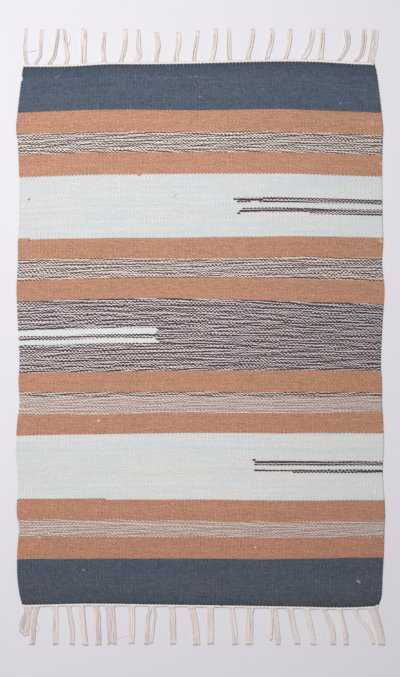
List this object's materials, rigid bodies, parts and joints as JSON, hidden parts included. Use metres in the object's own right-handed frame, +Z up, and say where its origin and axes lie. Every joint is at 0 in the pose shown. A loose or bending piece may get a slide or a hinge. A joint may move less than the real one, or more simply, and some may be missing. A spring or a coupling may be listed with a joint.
{
  "type": "kilim rug",
  "caption": "Small flat-woven kilim rug in striped wool bands with a cream warp fringe at both ends, lying flat.",
  "frame": {"origin": "centre of the bounding box's underside, on the floor that the rug lies on", "axes": "+Y along the rug towards its far fringe, +X across it, +Z up from its underside to its face"},
  "size_m": [0.6101, 1.0217, 0.0034],
  "materials": {
    "weft": "matte flat-woven wool, weft-faced, in bands of slate blue, terracotta, pale aqua and marled yarn",
    "warp": "matte cream cotton warp, softly plied"
  },
  "bodies": {
    "root": {"woven_field": "weft", "fringe_far": "warp", "fringe_near": "warp"}
  },
  "joints": []
}
